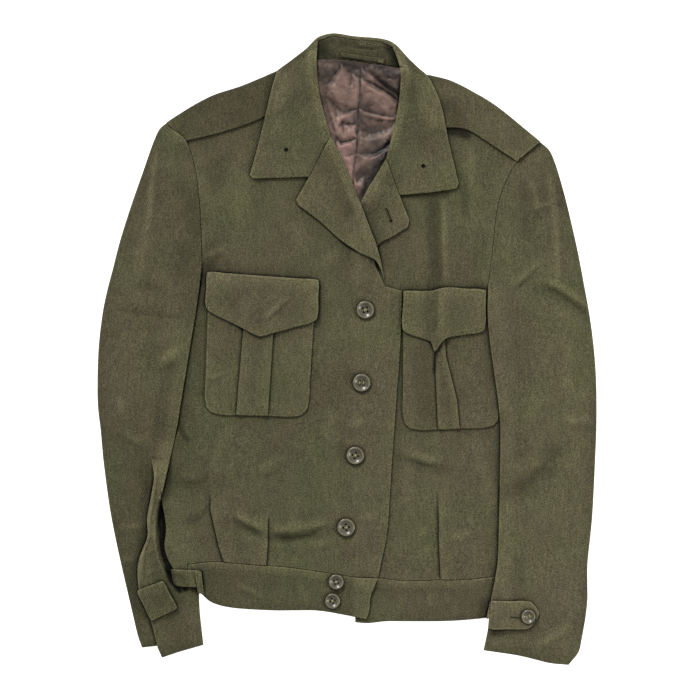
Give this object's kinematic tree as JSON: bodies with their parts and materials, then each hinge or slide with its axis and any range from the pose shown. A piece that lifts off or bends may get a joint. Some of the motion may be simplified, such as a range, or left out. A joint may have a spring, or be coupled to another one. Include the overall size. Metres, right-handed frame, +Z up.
{
  "type": "ike jacket",
  "caption": "Waist-length olive wool jacket laid flat on its back, with notched collar, flapped chest pockets, waistband and cuff tabs.",
  "frame": {"origin": "middle of the laid-out jacket's outline, on the surface that it lies on", "axes": "+X towards the wearer's left arm, +Y from the hem to the collar, +Z up from the surface, out of the jacket's front"},
  "size_m": [0.5498, 0.6956, 0.0144],
  "materials": {
    "wool": "heathered olive wool serge with a fine diagonal twill and browner worn patches",
    "satin": "brown-pink satin lining, softly shiny and creased",
    "button": "olive-brown moulded button, glossy with worn edges"
  },
  "bodies": {
    "root": {"back": "wool", "front_right": "wool", "front_left": "wool", "waistband_back": "wool", "waistband_left": "wool", "waistband_right": "wool", "lining_back": "satin", "collar": "wool", "collar_stand": "wool", "hanger_loop": "satin", "lapel_left": "wool", "lapel_right": "wool", "epaulette_right": "wool", "epaulette_left": "wool", "pocket_right": "wool", "pocket_left": "wool", "flap_right": "wool", "flap_left": "wool", "waist_strap_right": "wool", "strap_keeper_right": "wool", "sleeve_right": "wool", "sleeve_right_vent": "wool", "sleeve_left": "wool", "cuff_tab_left": "wool", "cuff_tab_right": "wool", "button_front_1": "button", "button_front_2": "button", "button_front_3": "button", "button_front_4": "button", "button_waist_1": "button", "button_waist_2": "button", "button_cuff_left": "button"}
  },
  "joints": []
}
